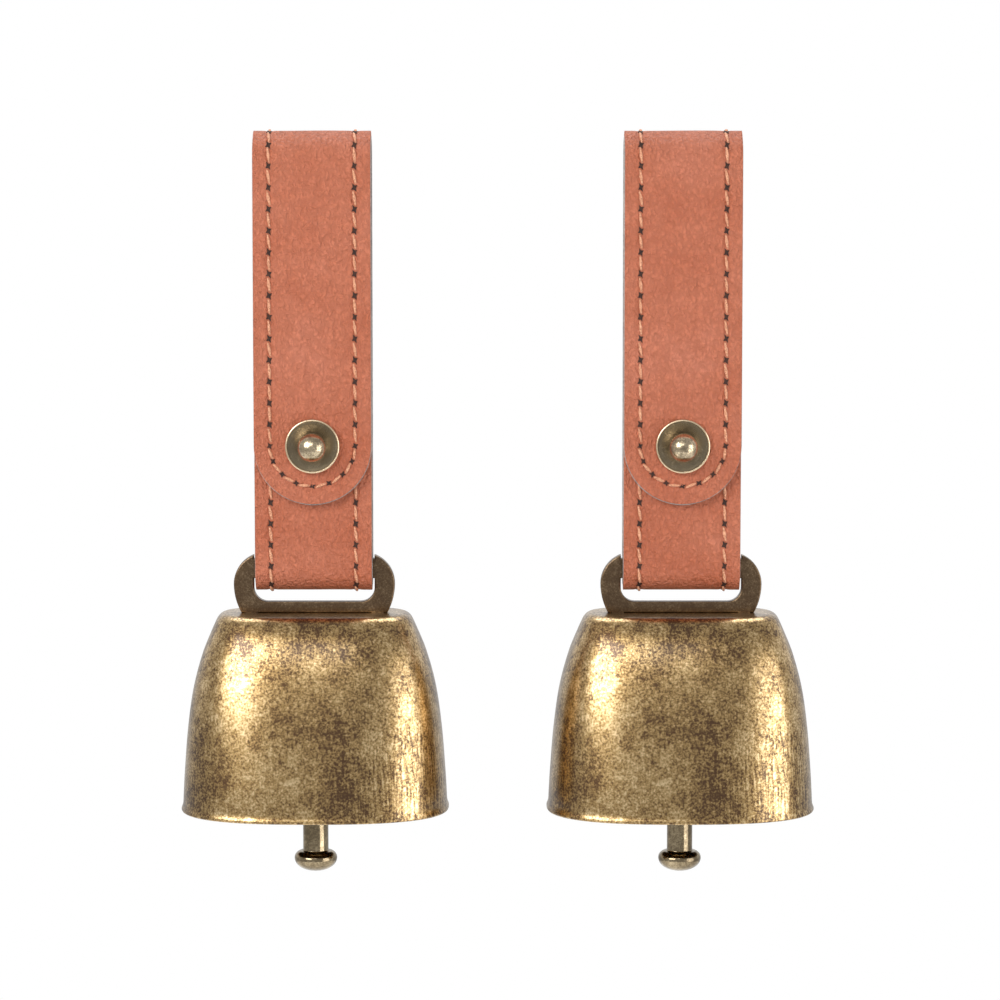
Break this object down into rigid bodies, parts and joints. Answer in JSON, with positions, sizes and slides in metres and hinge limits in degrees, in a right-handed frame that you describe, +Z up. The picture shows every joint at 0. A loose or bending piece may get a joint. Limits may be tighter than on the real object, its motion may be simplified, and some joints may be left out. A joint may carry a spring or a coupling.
{
  "type": "strap bell pair",
  "caption": "Small cowbell-type bells on folded, stitched leather straps, with a hanging rod clapper, a flat ring under each strap and a screw stud that closes the strap into a hanging loop.",
  "frame": {"origin": "on the axis of the rail that both strap loops hang on, midway between the two bells", "axes": "+X along the rail to the right as seen from the front, -Y towards the front (the stud side), +Z up"},
  "size_m": [0.1098, 0.0336, 0.1288],
  "materials": {
    "tan_leather": "fine-grained tan face leather",
    "grey_lining": "matt grey lining",
    "peach_thread": "twisted peach thread",
    "stud_brass": "antique brass, polished on the high spots",
    "dark_brass": "dark antique brass",
    "antique_brass": "mottled antique brass plate",
    "dark_brass_rod": "turned, dark antique brass",
    "steel_wire": "dull drawn wire"
  },
  "bodies": {
    "straps": {"left_strap_leather": "tan_leather", "left_strap_lining": "grey_lining", "left_strap_stitching": "peach_thread", "right_strap_leather": "tan_leather", "right_strap_lining": "grey_lining", "right_strap_stitching": "peach_thread"},
    "left_bell": {"left_bell_shell": "antique_brass", "left_hanger_ring": "dark_brass", "left_clapper_staple": "steel_wire"},
    "left_link": {"left_clapper_link": "steel_wire"},
    "left_clapper": {"left_clapper": "dark_brass_rod"},
    "left_screw": {"left_closure_screw": "stud_brass"},
    "left_stud": {"left_closure_stud": "stud_brass"},
    "right_bell": {"right_bell_shell": "antique_brass", "right_hanger_ring": "dark_brass", "right_clapper_staple": "steel_wire"},
    "right_link": {"right_clapper_link": "steel_wire"},
    "right_clapper": {"right_clapper": "dark_brass_rod"},
    "right_screw": {"right_closure_screw": "stud_brass"},
    "right_stud": {"right_closure_stud": "stud_brass"}
  },
  "joints": [
    {"name": "left_bell_swing", "type": "hinge", "parent": "straps", "child": "left_bell", "pos_m": [-0.03165, 0, -0.0707], "axis": [1, 0, 0], "range_deg": [-80, 80]},
    {"name": "left_link_swing", "type": "hinge", "parent": "left_bell", "child": "left_link", "pos_m": [-0.03165, 0, -0.0826], "axis": [1, 0, 0], "range_deg": [-19, 19]},
    {"name": "left_clapper_swing", "type": "hinge", "parent": "left_link", "child": "left_clapper", "pos_m": [-0.03165, 0, -0.0886], "axis": [0, 1, 0], "range_deg": [-27, 27]},
    {"name": "left_screw_turn", "type": "hinge", "parent": "straps", "child": "left_screw", "pos_m": [-0.03165, -0.002, -0.049], "axis": [0, 1, 0], "range_deg": [0, 1440]},
    {"name": "left_stud_slide", "type": "slide", "parent": "straps", "child": "left_stud", "axis": [0, -1, 0], "range_m": [0, 0.0021]},
    {"name": "right_bell_swing", "type": "hinge", "parent": "straps", "child": "right_bell", "pos_m": [0.03165, 0, -0.0707], "axis": [1, 0, 0], "range_deg": [-80, 80]},
    {"name": "right_link_swing", "type": "hinge", "parent": "right_bell", "child": "right_link", "pos_m": [0.03165, 0, -0.0826], "axis": [1, 0, 0], "range_deg": [-19, 19]},
    {"name": "right_clapper_swing", "type": "hinge", "parent": "right_link", "child": "right_clapper", "pos_m": [0.03165, 0, -0.0886], "axis": [0, 1, 0], "range_deg": [-27, 27]},
    {"name": "right_screw_turn", "type": "hinge", "parent": "straps", "child": "right_screw", "pos_m": [0.03165, -0.002, -0.049], "axis": [0, 1, 0], "range_deg": [0, 1440]},
    {"name": "right_stud_slide", "type": "slide", "parent": "straps", "child": "right_stud", "axis": [0, -1, 0], "range_m": [0, 0.0021]}
  ],
  "couplings": [
    {"joint": "left_stud_slide", "follows": "left_screw_turn", "m_per_rad": 0.000079577},
    {"joint": "right_stud_slide", "follows": "right_screw_turn", "m_per_rad": 0.000079577}
  ]
}
